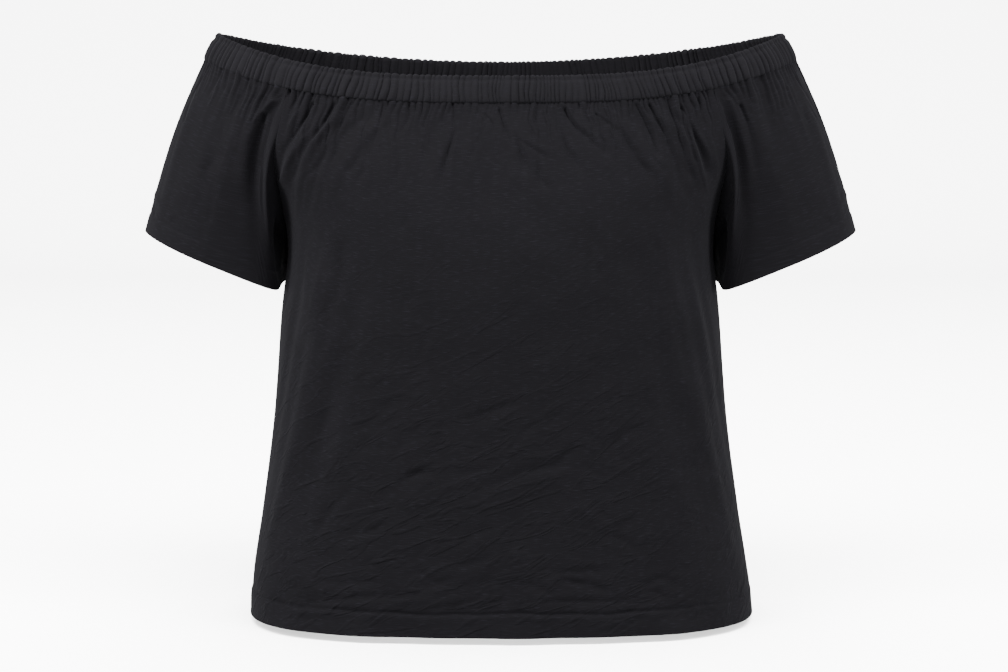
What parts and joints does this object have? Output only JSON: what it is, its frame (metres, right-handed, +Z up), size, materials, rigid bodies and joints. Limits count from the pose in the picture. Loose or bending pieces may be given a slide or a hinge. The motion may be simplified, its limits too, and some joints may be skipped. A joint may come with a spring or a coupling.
{
  "type": "blouse",
  "caption": "Off-the-shoulder jersey blouse, held out as worn: a gathered elastic neckline, short flared sleeves and a loose body that widens to a plain hem.",
  "frame": {"origin": "middle of the elastic neckline at the height of its casing at the shoulders, where the wearer holds the blouse up", "axes": "+X to the wearer's left, -Y out of the front, +Z up from hem to neckline"},
  "size_m": [0.6704, 0.2815, 0.548],
  "materials": {
    "jersey": "matt slub jersey knit, charcoal black",
    "casing": "the same jersey, folded over elastic and gathered"
  },
  "bodies": {
    "root": {"front": "jersey", "back": "jersey", "sleeve_right": "jersey", "sleeve_left": "jersey", "neck_casing": "casing"}
  },
  "joints": []
}
